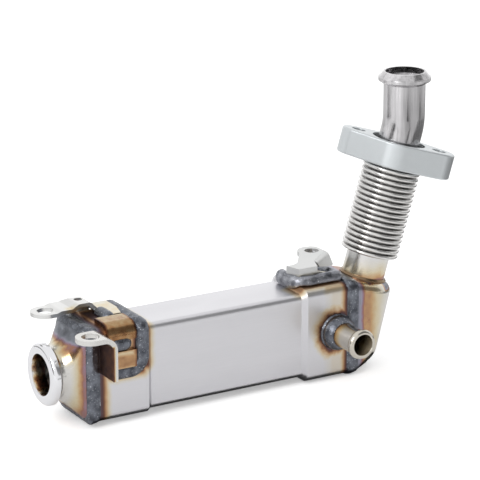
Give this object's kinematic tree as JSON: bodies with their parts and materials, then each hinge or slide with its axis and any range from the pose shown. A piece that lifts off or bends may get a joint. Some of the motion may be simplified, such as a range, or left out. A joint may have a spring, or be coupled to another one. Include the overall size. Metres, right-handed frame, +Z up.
{
  "type": "egr cooler",
  "caption": "Stainless exhaust gas cooler: flat rectangular body, round clamp inlet, bellows riser with an oval bolt flange and a beaded outlet pipe, with coolant stubs and brackets.",
  "frame": {"origin": "centre of the inlet flange's bore, at the flange's flat face", "axes": "+X along the casing from inlet to outlet, +Y to its back, +Z up; the inlet's axis is X"},
  "size_m": [0.2881, 0.1025, 0.1937],
  "materials": {
    "body_steel": "satin, brushed",
    "cap_steel": "pressed sheet with heat tint",
    "weld_steel": "rough weld bead",
    "ring_steel": "turned, bright satin",
    "plate_steel": "matte",
    "bracket_steel": "bright satin with heat tint",
    "bellows_steel": "polished",
    "pipe_steel": "polished",
    "core_steel": "plain"
  },
  "bodies": {
    "root": {"outer_casing": "body_steel", "inlet_tube_sheet": "core_steel", "outlet_tube_sheet": "core_steel", "gas_tube_1": "core_steel", "gas_strip_1": "core_steel", "gas_tube_2": "core_steel", "gas_strip_2": "core_steel", "gas_tube_3": "core_steel", "gas_strip_3": "core_steel", "gas_tube_4": "core_steel", "gas_strip_4": "core_steel", "gas_tube_5": "core_steel", "gas_strip_5": "core_steel", "coolant_baffle_1": "core_steel", "coolant_baffle_2": "core_steel", "inlet_flange": "ring_steel", "inlet_diffuser": "cap_steel", "inlet_seam_weld": "weld_steel", "outlet_header": "cap_steel", "outlet_seam_weld": "weld_steel", "bellows": "bellows_steel", "bellows_weld": "weld_steel", "oval_flange": "plate_steel", "outlet_pipe": "pipe_steel", "pipe_weld": "weld_steel", "coolant_stub_front": "ring_steel", "coolant_weld_front": "weld_steel", "coolant_stub_rear": "ring_steel", "coolant_weld_rear": "weld_steel", "upper_bracket": "bracket_steel", "upper_bracket_weld": "weld_steel", "side_bracket": "bracket_steel", "side_bracket_weld": "weld_steel", "saddle_plate": "bracket_steel", "saddle_weld": "weld_steel", "outlet_bracket": "bracket_steel", "outlet_bracket_weld": "weld_steel"}
  },
  "joints": []
}
